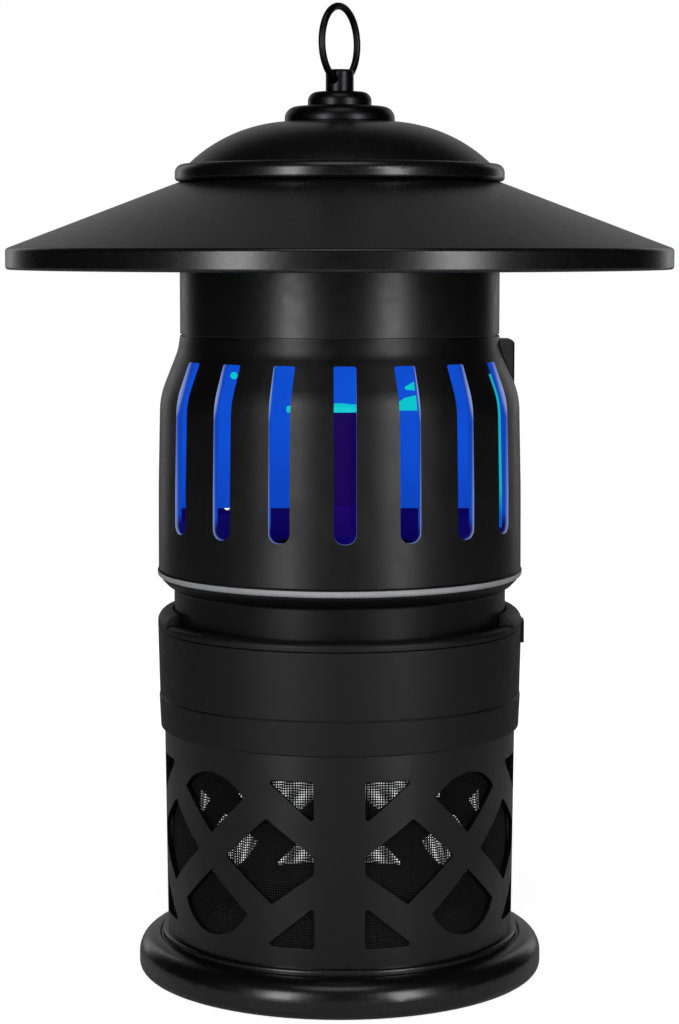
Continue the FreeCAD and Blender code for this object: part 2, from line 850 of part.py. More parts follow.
def make_impeller():
    """The fan: a domed hub and blades that twist from root to tip."""
    top = d.fan_bottom + d.fan_height
    body = turned("impeller", [
        Corner(d.shaft_radius, d.fan_bottom),
        Corner(d.fan_hub, d.fan_bottom),
        Corner(d.fan_hub, top, 3.0),
        Corner(d.shaft_radius, top),
    ])
    root = blade_section(body, d.fan_hub - 1.5, 14.0, 2.2, 38.0)
    tip = blade_section(body, d.fan_radius - 0.6, 23.0, 1.5, 22.0)
    before = volume_of(body)
    blade = body.newObject("PartDesign::AdditiveLoft", "impeller_blade")
    blade.Profile = root
    blade.Sections = [(tip, [""])]
    blade.Ruled = True
    expect_change(body, before, True)
    repeat(body, [blade], d.blade_count)
    return body


# ---------------------------------------------------------------- lamp chamber

def housing_outside(clearance=0.0):
    """The outer line of the lamp housing from the accent ring up to the neck seam."""
    return [
        Corner(d.housing_radius + clearance, d.accent_top, 0.3 if not clearance else None),
        Corner(d.housing_radius - 0.2 + clearance, 182.0),
        Corner(d.housing_radius - 0.95 + clearance, d.shoulder_height, d.shoulder_rounding),
        Corner(d.tower_radius + 0.8 + clearance, d.seam_height - 5.2, 14.0),
        Corner(d.tower_radius + clearance, d.seam_height),
    ]


def make_lamp_housing():
    """The drum round the lamps. Upright slots run up over its shoulder, seven in front, seven behind."""
    wall = d.head_wall
    inside = [
        Corner(d.tower_radius - wall, d.seam_height),
        Corner(d.tower_radius + 0.7 - wall, d.seam_height - 5.6, 14.0),
        Corner(d.housing_radius - 1.1 - wall, d.shoulder_height - 0.9, d.shoulder_rounding - wall),
        Corner(d.housing_radius - 0.2 - wall, 182.0),
        Corner(d.housing_radius - wall, d.accent_top),
    ]
    body = turned("lamp_housing", housing_outside() + inside)
    half = d.slot_width * 0.5
    slot = [
        Corner(-half, d.slot_bottom, 3.6),
        Corner(half, d.slot_bottom, 3.6),
        Corner(half, d.slot_top, 0.8),
        Corner(-half, d.slot_top, 0.8),
    ]
    sweep = d.slot_pitch * (d.slot_count - 1)
    first = d.slot_phase - sweep * 0.5
    for side in (0.0, 180.0):
        drawing = draw(body, "XZ_Plane", slot, turn=first.number + side)
        cut = extrude(body, drawing, d.housing_radius + 5.0, False, other_way=True)
        repeat(body, [cut], d.slot_count, sweep)
    hole = draw_circles(body, "YZ_Plane", [(d.jack_side, d.jack_height, d.jack_radius + 0.3)])
    extrude(body, hole, d.housing_radius + 5.0, False, other_way=True)
    return body


def make_lamp_bridge():
    """A strip across the funnel that carries both lamp sockets."""
    body = new_body("lamp_bridge")
    strip = draw(body, "XY_Plane", box_outline(-7.5, 7.5, -57.5, 57.5, 2.0), d.bridge_top - 2.0)
    extrude(body, strip, 2.0)
    drill(body, [(x, y, SCREW_SHANK + FIT_GAP) for x, y in BRIDGE_PLACES], d.bridge_top - 2.0, 2.0)
    return body


def make_bridge_screws():
    return screws("bridge_screws", BRIDGE_PLACES, 2.6, d.bridge_top, 1.6,
                  SCREW_SHANK, d.bridge_top - 5.6, 5.8)


def make_lamp_socket(label, offset):
    """A stepped holder for a lamp's base."""
    body = turned(label, [
        Corner(0, d.bridge_top),
        Corner(d.lamp_radius + 1.6, d.bridge_top),
        Corner(d.lamp_radius + 1.6, d.bridge_top + 3.0, 0.8),
        Corner(d.lamp_radius + 0.4, d.bridge_top + 4.0),
        Corner(d.lamp_radius + 0.4, d.socket_top, 0.8),
        Corner(0, d.socket_top),
    ])
    bind(body, "Placement.Base.y", offset)
    return body


def make_uv_lamp(label, offset):
    """A round-ended glass lamp that stands in its socket."""
    body = turned(label, [
        Corner(0, d.socket_top),
        Corner(d.lamp_radius, d.socket_top),
        Corner(d.lamp_radius, d.lamp_top, 5.0),
        Corner(0, d.lamp_top),
    ])
    bind(body, "Placement.Base.y", offset)
    return body


def make_lamp_clip(label, side):
    """A low strap on the reflector, with a ring round the lamp's top, a forked end and a snap head."""
    wall = d.sheet_wall
    face = wall * 0.5
    grip = d.lamp_radius + 0.4
    low = d.clip_bottom
    body = new_body(label)
    strap = box_outline(-19.6, 21.0, low - 2.0, low + 0.4, 0.8)
    extrude(body, draw(body, "XZ_Plane", strap, face), wall)
    fork = [
        Corner(19.6, low - 1.2),
        Corner(31.4, low - 1.2, 1.0),
        Corner(31.4, low + 11.0, 1.0),
        Corner(27.6, low + 9.6, 0.6),
        Corner(22.6, low + 6.6, 0.6),
        Corner(29.4, low + 6.0, 0.4),
        Corner(29.4, low + 4.6, 0.4),
        Corner(24.0, low + 3.4, 0.6),
        Corner(19.6, low + 0.4, 0.6),
    ]
    extrude(body, draw(body, "XZ_Plane", fork, face), wall)
    link = draw(body, "XY_Plane", box_outline(-2.0, 2.0, -d.lamp_offset + grip + 0.6, -face - 1.0), low - 1.0)
    extrude(body, link, 2.4)
    rings = [(0, -d.lamp_offset, grip + 2.0), (0, -d.lamp_offset, grip)]
    extrude(body, draw_circles(body, "XY_Plane", rings, low), d.clip_height)
    extrude(body, draw_circles(body, "XZ_Plane", [(-38.8, low + 11.6, 1.3)], face), wall)
    body.Placement = Placement(Vector(0, 0, 0), Rotation(Vector(0, 0, 1), 0 if side < 0 else 180))
    return body


def make_reflector_plate():
    """The upright sheet between the lamps, which fills the chamber from wall to wiring channel."""
    body = new_body("reflector_plate")
    low = d.reflector_bottom
    top = d.deck_bottom - 0.2
    wide = d.housing_radius - 4.3
    outline = [
        Corner(-wide, low, 2.0),
        Corner(53.4, low, 2.0),
        Corner(53.4, top),
        Corner(-wide + 8.4, top),
        Corner(-wide + 5.9, d.shoulder_height + 11.0),
        Corner(-wide + 1.2, d.shoulder_height - 6.0, 4.0),
    ]
    extrude(body, draw(body, "XZ_Plane", outline), d.sheet_wall, both_ways=True)
    return body


def make_wire_conduit():
    """The upright channel against the wall that hides the wiring."""
    body = new_body("wire_conduit")
    low = d.bridge_top + 0.2
    outline = [
        Corner(53.8, low, 1.0),
        Corner(61.8, low),
        Corner(61.8, 205.0),
        Corner(60.4, 214.0),
        Corner(57.4, 222.4),
        Corner(53.8, 222.4, 1.0),
    ]
    extrude(body, draw(body, "XZ_Plane", outline), 14.0, both_ways=True)
    hollow = draw(body, "XY_Plane", box_outline(55.2, 63.0, -5.6, 5.6, 0.8), d.bridge_top - 1.0)
    extrude(body, hollow, 60.0, False, other_way=True)
    notch = draw(body, "XY_Plane", box_outline(53.0, 56.0, HARNESS_SIDE - 2.0, HARNESS_SIDE + 2.2), 213.5)
    extrude(body, notch, 12.0, False, other_way=True)
    return body


def make_lamp_deck():
    """The ceiling of the lamp chamber and the floor of the electronics."""
    body = turned("lamp_deck", [
        Corner(0, d.deck_bottom),
        Corner(55.8, d.deck_bottom),
        Corner(55.8, d.deck_bottom + 2.0),
        Corner(0, d.deck_bottom + 2.0),
    ])
    notch = box_outline(51.4, 58.0, HARNESS_SIDE - 1.9, HARNESS_SIDE + 1.9)
    extrude(body, draw(body, "XY_Plane", notch, d.deck_bottom), 3.0, False, other_way=True)
    drill(body, [(47.0, d.jack_side, 1.6)], d.deck_bottom, 3.0)
    return body


# ---------------------------------------------------------------- power inlet, board and wiring

def make_jack_housing():
    """The block that squares off the shoulder round the power inlet."""
    body = new_body("jack_housing")
    low = d.seam_height - 18.4
    footprint = [
        Corner(50.0, d.jack_side - 13.0),
        Corner(d.boss_face, d.jack_side - 6.4, 1.4),
        Corner(d.boss_face, d.jack_side + 6.4, 1.4),
        Corner(50.0, d.jack_side + 13.0),
    ]
    extrude(body, draw(body, "XY_Plane", footprint, low), 17.0)
    top = d.seam_height - 1.4
    edge = [
        Corner(d.boss_face - 6.0, top),
        Corner(d.boss_face, top, 2.0),
        Corner(d.boss_face, top - 6.0),
        Corner(d.boss_face + 1.0, top - 6.0),
        Corner(d.boss_face + 1.0, top + 1.0),
        Corner(d.boss_face - 6.0, top + 1.0),
    ]
    extrude(body, draw(body, "XZ_Plane", edge), 40.0, adds=False, both_ways=True)
    core = [Corner(0, 182.0)] + housing_outside(0.05)[1:] + [Corner(0, d.seam_height)]
    spin(body, draw(body, "XZ_Plane", core), adds=False)
    hole = draw_circles(body, "YZ_Plane", [(d.jack_side, d.jack_height, d.jack_radius + 0.3)])
    extrude(body, hole, d.housing_radius + 5.0, False, other_way=True)
    return body


def make_dc_jack():
    """A round low-voltage inlet: a socket barrel with a pin in its bore."""
    body = new_body("dc_jack")
    back = as_size(53.4)
    mouth = d.boss_face - 0.3
    circle = [(d.jack_side, d.jack_height, d.jack_radius)]
    extrude(body, draw_circles(body, "YZ_Plane", circle, back), mouth - back)
    bore = [(d.jack_side, d.jack_height, 2.8), (d.jack_side, d.jack_height, 1.0)]
    extrude(body, draw_circles(body, "YZ_Plane", bore, mouth), 8.5, False)
    return body


def make_lead(label, side, radius, route):
    """A wire in an upright plane beside the axis, along straight runs with rounded bends."""
    body = new_body(label)
    path = new_sketch(body, "XZ_Plane", -as_size(side))
    points = [Vector(x, z, 0) for x, z, bend in route]
    for start, end in zip(points, points[1:]):
        path.addGeometry(Part.LineSegment(start, end))
    for index in range(len(points) - 2):
        path.addConstraint(Sketcher.Constraint("Coincident", index, 2, index + 1, 1))
    for index, point in enumerate(points):
        end = (index, 1) if index < len(points) - 1 else (index - 1, 2)
        path.addConstraint(Sketcher.Constraint("DistanceX", -1, 1, *end, point.x))
        path.addConstraint(Sketcher.Constraint("DistanceY", -1, 1, *end, point.y))
    for index in range(1, len(points) - 1):
        path.fillet(index, 1, route[index][2], 1, True)
    doc.recompute()
    section = body.newObject("Sketcher::SketchObject", f"{label}_section")
    section.AttachmentSupport = [(path, "Edge1")]
    section.MapMode = "NormalToEdge"
    section.addGeometry(Part.Circle(Vector(0, 0, 0), Vector(0, 0, 1), radius))
    section.addConstraint(Sketcher.Constraint("Coincident", 0, 3, -1, 1))
    section.addConstraint(Sketcher.Constraint("Radius", 0, radius))
    pipe = body.newObject("PartDesign::AdditivePipe", f"{label}_pipe")
    pipe.Profile = section
    pipe.Spine = (path, [])
    doc.recompute()
    if body.Shape.Volume < 1.0:
        raise RuntimeError(f"{label}: the lead has no volume")
    return body


def make_wiring_harness():
    """The bundle from the board down the channel to the motor."""
    return make_lead("wiring_harness", HARNESS_SIDE, HARNESS_RADIUS, [
        (36.0, 244.8, 0),
        (53.6, 241.0, 3.0),
        (53.6, 229.0, 5.0),
        (57.6, 212.0, 9.0),
        (57.6, 158.0, 5.0),
        (54.2, 146.0, 5.0),
        (54.2, 129.8, 3.0),
        (16.4, 128.8, 0),
    ])


def make_jack_lead():
    return make_lead("jack_lead", d.jack_side.number, 0.9, [
        (53.2, 227.0, 0),
        (47.0, 227.0, 2.5),
        (47.0, 243.0, 3.5),
        (36.0, 244.8, 0),
    ])


BOARD_PLACES = [(as_size(x), as_size(y)) for x in (-30.0, 30.0) for y in (-20.0, 20.0)]


def make_board_standoffs():
    """Four posts that carry the board over the deck."""
    group = doc.addObject("Part::Compound", "board_standoffs")
    group.Label = "board_standoffs"
    deck_top = d.deck_bottom + 2.0
    group.Links = [rod(f"standoff_{index}", 3.0, deck_top, d.board_bottom - deck_top, place)
                   for index, place in enumerate(BOARD_PLACES)]
    return group


def make_control_board():
    body = new_body("control_board")
    outline = box_outline(-35.0, 35.0, -25.0, 25.0, 2.0)
    extrude(body, draw(body, "XY_Plane", outline, d.board_bottom), d.sheet_wall)
    drill(body, [(x, y, 1.3) for x, y in BOARD_PLACES], d.board_bottom, d.sheet_wall)
    return body


def make_board_screws():
    top = d.board_bottom + d.sheet_wall
    return screws("board_screws", BOARD_PLACES, 2.6, top, 1.6, 1.2, d.board_bottom, d.sheet_wall + 0.5)


def make_board_components():
    """The lamp driver on the board: a transformer, two capacitors and a row of small parts."""
    group = doc.addObject("Part::Compound", "board_components")
    group.Label = "board_components"
    top = d.board_bottom + d.sheet_wall
    members = []
    for index, (x, y, wide, deep, tall) in enumerate([
            (-20.0, -12.0, 22.0, 24.0, 17.0), (10.0, -18.0, 12.0, 5.0, 9.0), (10.0, 8.0, 12.0, 5.0, 9.0)]):
        block = doc.addObject("Part::Box", f"component_block_{index}")
        for name, value in (("Length", wide), ("Width", deep), ("Height", tall),
                            ("Placement.Base.x", x), ("Placement.Base.y", y), ("Placement.Base.z", top)):
            bind(block, name, value)
        members.append(block)
    for index, place in enumerate([(14.0, 0.0), (26.0, 0.0)]):
        members.append(rod(f"component_can_{index}", 4.0, top, 12.0, place))
    group.Links = members
    return group


# ---------------------------------------------------------------- tower, shroud, dome and hanger

BOLT_GAP = 0.25


def make_neck_housing():
    """The plain tower over the lamp chamber, closed on top."""
    hole = d.bolt_radius + BOLT_GAP
    return turned("neck_housing", [
        Corner(d.tower_radius - 2.4, d.seam_height),
        Corner(d.tower_radius - 0.9, d.seam_height),
        Corner(d.tower_radius - 0.9, d.seam_height + 0.5),
        Corner(d.tower_radius, d.seam_height + 0.6, 0.3),
        Corner(d.tower_radius, d.tower_top),
        Corner(hole, d.tower_top),
        Corner(hole, d.tower_top - 2.8),
        Corner(d.tower_radius - 2.4, d.tower_top - 2.8, 3.0),
    ])


def make_rain_shroud():
    """The wide cone with its upright rim, carried on the top of the tower."""
    hole = d.bolt_radius + BOLT_GAP
    wall = d.head_wall
    hub = d.tower_radius + 0.3
    return turned("rain_shroud", [
        Corner(hole, d.tower_top + 0.1),
        Corner(hub, d.tower_top + 0.1),
        Corner(hub, d.tower_top - 1.8, 1.0),
        Corner(d.shroud_radius - wall, d.rim_top - 2.6, 2.0),
        Corner(d.shroud_radius - wall, d.rim_bottom, 0.8),
        Corner(d.shroud_radius, d.rim_bottom, 1.2),
        Corner(d.shroud_radius, d.rim_top, 1.6),
        Corner(d.dome_ring_radius + 0.2, d.tower_top + 0.05),
        Corner(57.4, d.tower_top + 1.0),
        Corner(57.4, d.tower_top + 2.4),
        Corner(hole, d.tower_top + 2.4),
    ])


def make_dome_cover():
    """The low dome with its stepped ring, a shell over the middle of the shroud."""
    hole = d.bolt_radius + BOLT_GAP
    ring = d.dome_ring_radius
    return turned("dome_cover", [
        Corner(ring - 2.4, d.tower_top + 1.2),
        Corner(ring, d.tower_top + 0.3, 1.4),
        Corner(ring, d.dome_ring_top, 3.2),
        Corner(ring - 4.9, d.dome_ring_top, bow=-d.dome_bow),
        Corner(22.5, d.dome_top),
        Corner(hole, d.dome_top),
        Corner(hole, d.dome_top - 2.6),
        Corner(22.0, d.dome_top - 2.6, bow=d.dome_bow - 2.4),
        Corner(ring - 6.2, d.dome_ring_top - 2.2),
        Corner(ring - 2.4, d.dome_ring_top - 2.2),
    ])


def make_finial_base():
    hole = d.bolt_radius + BOLT_GAP
    return turned("finial_base", [
        Corner(hole, d.dome_top),
        Corner(d.finial_radius, d.dome_top, 0.5),
        Corner(d.finial_radius, d.finial_top, 4.4),
        Corner(hole, d.finial_top),
    ])


def make_finial_cap():
    hole = d.bolt_radius + BOLT_GAP
    return turned("finial_cap", [
        Corner(hole, d.finial_top),
        Corner(d.cap_radius, d.finial_top, 0.4),
        Corner(d.cap_radius, d.cap_top, 3.4),
        Corner(hole, d.cap_top),
    ])


def make_hanging_stud():
    """The bolt that clamps dome, shroud and tower together, with an eye across its head."""
    body = turned("hanging_stud", [
        Corner(0, d.tower_top - 12.0),
        Corner(d.bolt_radius, d.tower_top - 12.0, 0.5),
        Corner(d.bolt_radius, d.cap_top),
        Corner(d.stud_radius, d.cap_top),
        Corner(d.stud_radius, d.stud_top, 1.0),
        Corner(0, d.stud_top),
    ])
    drawing = new_sketch(body, "XZ_Plane", turn=-d.ring_azimuth.number)
    drawing.addGeometry(Part.Circle(Vector(0, d.eye_height.number, 0), Vector(0, 0, 1), d.eye_radius.number))
    drawing.addConstraint(Sketcher.Constraint("PointOnObject", 0, 3, -2))
    for kind, place, value in (("DistanceY", (-1, 1, 0, 3), d.eye_height), ("Radius", (0,), d.eye_radius)):
        held = drawing.addConstraint(Sketcher.Constraint(kind, *place, value.number))
        bind(drawing, f"Constraints[{held}]", value)
    extrude(body, drawing, 30.0, False, both_ways=True)
    return body


def make_stud_washer():
    bottom = d.tower_top - 4.0
    return turned("stud_washer", [
        Corner(d.bolt_radius + BOLT_GAP, bottom),
        Corner(10.0, bottom),
        Corner(10.0, bottom + 1.2),
        Corner(d.bolt_radius + BOLT_GAP, bottom + 1.2),
    ])


def make_stud_nut():
    """A hexagon nut under the washer."""
    body = new_body("stud_nut")
    across = 7.5
    corners = [Corner(across * cosine(60.0 * index), across * sine(60.0 * index)) for index in range(6)]
    extrude(body, draw(body, "XY_Plane", corners, d.tower_top - 10.5), 6.5)
    drill(body, [(0, 0, d.bolt_radius + 0.05)], d.tower_top - 10.5, 6.5)
    return body


def make_hanging_ring():
    """The loose wire ring through the stud's eye."""
    ring = doc.addObject("Part::Torus", "hanging_ring")
    ring.Label = "hanging_ring"
    bind(ring, "Radius1", d.ring_radius)
    bind(ring, "Radius2", d.ring_wire)
    facing = math.radians(d.ring_azimuth.number)
    normal = Vector(math.cos(facing), -math.sin(facing), 0)
    ring.Placement = Placement(Vector(0, 0, d.ring_height.number), Rotation(Vector(0, 0, 1), normal))
    bind(ring, "Placement.Base.z", d.ring_height)
    return ring


# ---------------------------------------------------------------- build, check and write

NODES = [
    make_foot_ring(),
    make_bottom_plate(),
    make_bottom_screws(),
    make_base_flange(),
    make_basket_floor(),
    make_lattice_cage(),
    make_mesh_screen(),
    make_basket_hoops(),
    make_collar_band(),
    make_duct_seal(),
    make_lock_ring(),
    make_neck_shell(),
    make_accent_ring(),
    make_fan_duct(),
    make_intake_funnel(),
    make_guard_bars(),
    make_motor_cup(),
    make_motor_arms(),
    make_mount_rim(),
    make_motor_can(),
    make_motor_shaft(),
    make_impeller(),
    make_lamp_housing(),
    make_lamp_bridge(),
    make_bridge_screws(),
    make_lamp_socket("lamp_socket_front", -d.lamp_offset),
    make_lamp_socket("lamp_socket_rear", d.lamp_offset),
    make_uv_lamp("uv_lamp_front", -d.lamp_offset),
    make_uv_lamp("uv_lamp_rear", d.lamp_offset),
    make_lamp_clip("lamp_clip_front", -1),
    make_lamp_clip("lamp_clip_rear", 1),
    make_reflector_plate(),
    make_wire_conduit(),
    make_lamp_deck(),
    make_jack_housing(),
    make_dc_jack(),
    make_wiring_harness(),
    make_jack_lead(),
    make_board_standoffs(),
    make_control_board(),
    make_board_screws(),
    make_board_components(),
    make_neck_housing(),
    make_rain_shroud(),
    make_dome_cover(),
    make_finial_base(),
    make_finial_cap(),
    make_hanging_stud(),
    make_stud_washer(),
    make_stud_nut(),
    make_hanging_ring(),
]

doc.recompute()
for item in doc.Objects:
    if "Invalid" in item.State or "Error" in item.State:
        raise RuntimeError(f"{item.Name} failed: {item.State}")

os.makedirs("parts", exist_ok=True)
for node in NODES:
    shape = node.Shape
    if shape.isNull() or not shape.isValid():
        raise RuntimeError(f"{node.Label} has no valid shape")
    shape.exportStep(f"parts/{node.Label}.step")
    print(f"{node.Label}: {len(shape.Solids)} solid(s), {shape.Volume / 1000:.2f} cm3")
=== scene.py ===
# %% [markdown]
# # A lantern-style insect trap
#
# The trap is mostly one material, black moulded plastic, so its looks rest on three things: clean
# curves that carry long soft highlights, a fine moulded grain that breaks those highlights up, and
# the coloured light behind the slots. The CAD frame gives the sizes and the places of all parts.
# Nearly all of them are shown as they come from it. Only the insect screen and the hanging ring
# are made anew here.

import json
import math

import bpy
import numpy as np
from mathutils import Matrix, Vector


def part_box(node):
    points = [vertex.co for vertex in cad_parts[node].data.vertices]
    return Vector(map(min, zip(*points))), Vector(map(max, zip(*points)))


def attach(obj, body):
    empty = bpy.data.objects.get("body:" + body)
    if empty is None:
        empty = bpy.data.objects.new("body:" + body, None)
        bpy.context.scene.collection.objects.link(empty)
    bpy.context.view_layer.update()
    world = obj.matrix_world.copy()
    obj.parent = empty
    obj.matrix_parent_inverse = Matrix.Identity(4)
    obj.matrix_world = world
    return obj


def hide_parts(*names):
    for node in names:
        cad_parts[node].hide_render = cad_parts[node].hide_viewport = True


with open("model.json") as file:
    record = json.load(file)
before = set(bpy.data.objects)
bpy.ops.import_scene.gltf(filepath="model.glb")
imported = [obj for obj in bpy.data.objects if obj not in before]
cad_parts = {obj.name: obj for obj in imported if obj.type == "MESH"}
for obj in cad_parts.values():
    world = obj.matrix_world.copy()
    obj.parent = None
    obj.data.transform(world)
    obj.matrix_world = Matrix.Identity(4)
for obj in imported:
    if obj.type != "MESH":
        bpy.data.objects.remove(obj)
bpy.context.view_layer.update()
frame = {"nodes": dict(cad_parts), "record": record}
nodes = frame["nodes"]
MM = 0.001

# %% [markdown]
# ## Surfaces from numpy grids
#
# The screen's wires, the hanging ring and the floor are all grids: each point is found from two
# numbers, such as how far along a wire it lies and how far round it. Whole arrays can then be
# worked out at once. The alternatives are the Screw and Array modifiers, which are quick to set up
# but leave seams to merge.

# %% A mesh from arrays
QUAD = 4


def new_object(name, points, faces):
    """A smooth mesh object from an (n, 3) array of points and an (m, 4) array of faces.

    Six times its volume is the sum over the faces' triangles of corner . (corner x corner); where
    that comes out negative the faces are turned over, so that they all point outwards."""
    points = np.ascontiguousarray(points, np.float32)
    faces = np.asarray(faces, np.int32)
    first, second, third, fourth = np.moveaxis(points[faces].astype(float), 1, 0)
    volume = (first * (np.cross(second, third) + np.cross(third, fourth))).sum()
    if volume < 0:
        faces = faces[:, ::-1]
    mesh = bpy.data.meshes.new(name)
    mesh.vertices.add(len(points))
    mesh.vertices.foreach_set("co", points.ravel())
    mesh.loops.add(faces.size)
    mesh.loops.foreach_set("vertex_index", np.ascontiguousarray(faces).ravel())
    mesh.polygons.add(len(faces))
    mesh.polygons.foreach_set("loop_start", np.arange(0, faces.size, QUAD, dtype=np.int32))
    mesh.polygons.foreach_set("use_smooth", np.ones(len(faces), bool))
    mesh.update(calc_edges=True)
    mesh.validate()
    piece = bpy.data.objects.new(name, mesh)
    bpy.context.scene.collection.objects.link(piece)
    print(name, len(points), "points", len(faces), "faces")
    return piece


# %% The faces of a grid


def grid_faces(rows, columns, close_rows=False, close_columns=False):
    """The quads between the points of a grid numbered row by row.

    Quad (i, j) joins points (i, j), (i + 1, j), (i + 1, j + 1), (i, j + 1); a closed direction
    wraps its last index round to the first."""
    i = np.arange(rows if close_rows else rows - 1)
    j = np.arange(columns if close_columns else columns - 1)
    i, j = (a.ravel() for a in np.meshgrid(i, j, indexing="ij"))
    after_i = (i + 1) % rows
    after_j = (j + 1) % columns
    return np.stack([i * columns + j, after_i * columns + j,
                     after_i * columns + after_j, i * columns + after_j], axis=1)


print("a 3 by 4 grid has", len(grid_faces(3, 4)), "quads")

# %% [markdown]
# ## Short words for shader nodes
#
# Every finish below is a small network of nodes. Wiring them by hand in the Shader Editor shows the
# result at once, but can't be read back as text. A few helpers make the text short: each adds one
# node, and takes either a number or another node's output for any of its inputs.

# %% Node helpers
NOISE_LOW = 0.3
NOISE_HIGH = 0.7
MIX_FACTOR, MIX_FIRST, MIX_SECOND = 0, 6, 7
MIX_RESULT = 2


def feed(tree, socket, source):
    """Link an input socket to an output socket, or give it a value of its own."""
    if isinstance(source, bpy.types.NodeSocket):
        tree.links.new(source, socket)
    else:
        socket.default_value = source


def add_node(tree, kind, inputs=(), **settings):
    """A node with settings, such as its operation, and {input: value or output socket}."""
    node = tree.nodes.new(kind)
    for name, value in settings.items():
        setattr(node, name, value)
    for socket, source in dict(inputs).items():
        feed(tree, node.inputs[socket], source)
    return node


def noise(tree, place, scale, detail=2.0, roughness=0.5):
    """A noise texture's value at a place, with scale in features per metre."""
    return add_node(tree, "ShaderNodeTexNoise", {
        "Vector": place, "Scale": scale, "Detail": detail, "Roughness": roughness}).outputs["Fac"]


def spread(tree, value, low, high):
    """A noise value carried from the range where it mostly lies to low to high."""
    return add_node(tree, "ShaderNodeMapRange", {
        "Value": value, "From Min": NOISE_LOW, "From Max": NOISE_HIGH,
        "To Min": low, "To Max": high}).outputs["Result"]


def step_up(tree, value, low, high):
    """A smooth 0 to 1 step of a value between low and high, or down again where low is higher."""
    return add_node(tree, "ShaderNodeMapRange", {"Value": value, "From Min": low, "From Max": high},
                    interpolation_type="SMOOTHSTEP").outputs["Result"]


def mix(tree, factor, first, second):
    """Two colours mixed by a factor.

    A Mix node has sockets for each kind of data under the same names, so the colour ones are
    reached by their numbers."""
    return add_node(tree, "ShaderNodeMix", {
        MIX_FACTOR: factor, MIX_FIRST: first, MIX_SECOND: second},
        data_type="RGBA").outputs[MIX_RESULT]


# %% More node helpers


def brightened(tree, colour, times):
    """A colour made so many times as bright."""
    return add_node(tree, "ShaderNodeHueSaturation", {
        "Color": colour, "Value": times}).outputs["Color"]


def calculate(tree, operation, first, second=0.0):
    """The result of one Math node."""
    return add_node(tree, "ShaderNodeMath", {0: first, 1: second}, operation=operation).outputs[0]


def own_place(tree):
    """The point's place on its own piece, in metres, which goes along when the piece moves."""
    return add_node(tree, "ShaderNodeTexCoord").outputs["Object"]


def parts_of(tree, vector):
    """The X, Y and Z of a vector."""
    split = add_node(tree, "ShaderNodeSeparateXYZ", {"Vector": vector})
    return [split.outputs[axis] for axis in "XYZ"]


print("noise is taken to lie between", NOISE_LOW, "and", NOISE_HIGH)

# %% [markdown]
# ## The moulded skin
#
# Two effects come back on many parts. Moulded plastic has a fine grain from the tool's spark-eroded
# surface, and a slow change in sheen where the melt cooled unevenly. Fine dust settles on what
# faces up. An image of such a surface would repeat and need unwrapping, so noise on the piece's own
# coordinates is used. It is built once as a group that puts out values only, and each material
# keeps its own shader.

# %% The skin group's sockets


def new_group(name, inputs, outputs):
    """An empty shader group with (socket type, name, default) inputs and (type, name) outputs."""
    tree = bpy.data.node_groups.new(name, "ShaderNodeTree")
    for kind, label, default in inputs:
        socket = tree.interface.new_socket(name=label, in_out="INPUT", socket_type=kind)
        socket.default_value = default
    for kind, label in outputs:
        tree.interface.new_socket(name=label, in_out="OUTPUT", socket_type=kind)
    return tree, tree.nodes.new("NodeGroupInput"), tree.nodes.new("NodeGroupOutput")


GRAIN_SCALE = 2600.0
GRAIN_DEPTH = 0.00002
skin, skin_in, skin_out = new_group(
    "moulded_skin",
    [("NodeSocketColor", "Colour", (0.02, 0.02, 0.02, 1)),
     ("NodeSocketFloat", "Sheen Low", 0.34),
     ("NodeSocketFloat", "Sheen High", 0.42),
     ("NodeSocketFloat", "Grain Scale", GRAIN_SCALE),
     ("NodeSocketFloat", "Grain Depth", GRAIN_DEPTH),
     ("NodeSocketFloat", "Dust", 0.03)],
    [("NodeSocketColor", "Colour"),
     ("NodeSocketFloat", "Roughness"),
     ("NodeSocketVector", "Normal")])
print("skin inputs:", [socket.name for socket in skin_in.outputs if socket.name])

# %% Clouds, dust, sheen and grain
CLOUD_SCALE = 28.0
CLOUD_SHARE = 0.6
CLOUD_LIFT = 1.35
MOTTLE_SCALE = 260.0
MOTTLE_DETAIL = 3.0
DUST_COLOUR = (0.33, 0.31, 0.29, 1)
DUST_SLOPE = 0.25
DUST_LEAST = 0.35
GRAIN_DETAIL = 2.0
GRAIN_ROUGHNESS = 0.6
GRAIN_STRENGTH = 0.5

skin_place = own_place(skin)
plain = skin_in.outputs["Colour"]
clouds = spread(skin, noise(skin, skin_place, CLOUD_SCALE), 0.0, CLOUD_SHARE)
cloudy = mix(skin, clouds, plain, brightened(skin, plain, CLOUD_LIFT))

mottle = noise(skin, skin_place, MOTTLE_SCALE, MOTTLE_DETAIL)
_, _, up = parts_of(skin, add_node(skin, "ShaderNodeNewGeometry").outputs["Normal"])
facing_up = add_node(skin, "ShaderNodeMapRange", {
    "Value": up, "From Min": DUST_SLOPE, "From Max": 1.0}).outputs["Result"]
dust = calculate(skin, "MULTIPLY", facing_up, spread(skin, mottle, DUST_LEAST, 1.0))
dust = calculate(skin, "MULTIPLY", dust, skin_in.outputs["Dust"])

sheen = spread(skin, mottle, skin_in.outputs["Sheen Low"], skin_in.outputs["Sheen High"])
grain = noise(skin, skin_place, skin_in.outputs["Grain Scale"], GRAIN_DETAIL, GRAIN_ROUGHNESS)
bump = add_node(skin, "ShaderNodeBump", {
    "Strength": GRAIN_STRENGTH, "Height": grain, "Distance": skin_in.outputs["Grain Depth"]})

feed(skin, skin_out.inputs["Colour"], mix(skin, dust, cloudy, DUST_COLOUR))
feed(skin, skin_out.inputs["Roughness"], calculate(skin, "ADD", dust, sheen))
feed(skin, skin_out.inputs["Normal"], bump.outputs["Normal"])
print("skin group:", len(skin.nodes), "nodes")

